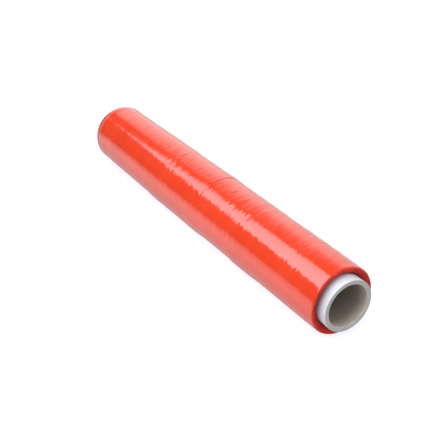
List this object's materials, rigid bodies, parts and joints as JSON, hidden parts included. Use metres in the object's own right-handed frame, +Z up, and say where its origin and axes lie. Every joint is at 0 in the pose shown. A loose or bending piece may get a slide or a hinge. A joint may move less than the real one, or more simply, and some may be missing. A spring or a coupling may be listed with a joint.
{
  "type": "stretch wrap roll",
  "caption": "Hand roll of orange-red stretch film wound on an open paperboard core that stands out past the film at each end.",
  "frame": {"origin": "on the ground, under the middle of the core, with the roll lying on its side", "axes": "+X along the roll's axis, towards the end whose film is less rounded; +Z up"},
  "size_m": [0.518, 0.0806, 0.0794],
  "materials": {
    "core_board": "matt white paper outside, grey board at the cut ends and in the bore",
    "film": "glossy orange-red stretch film"
  },
  "bodies": {
    "root": {"core_tube": "core_board", "film_roll": "film"}
  },
  "joints": []
}
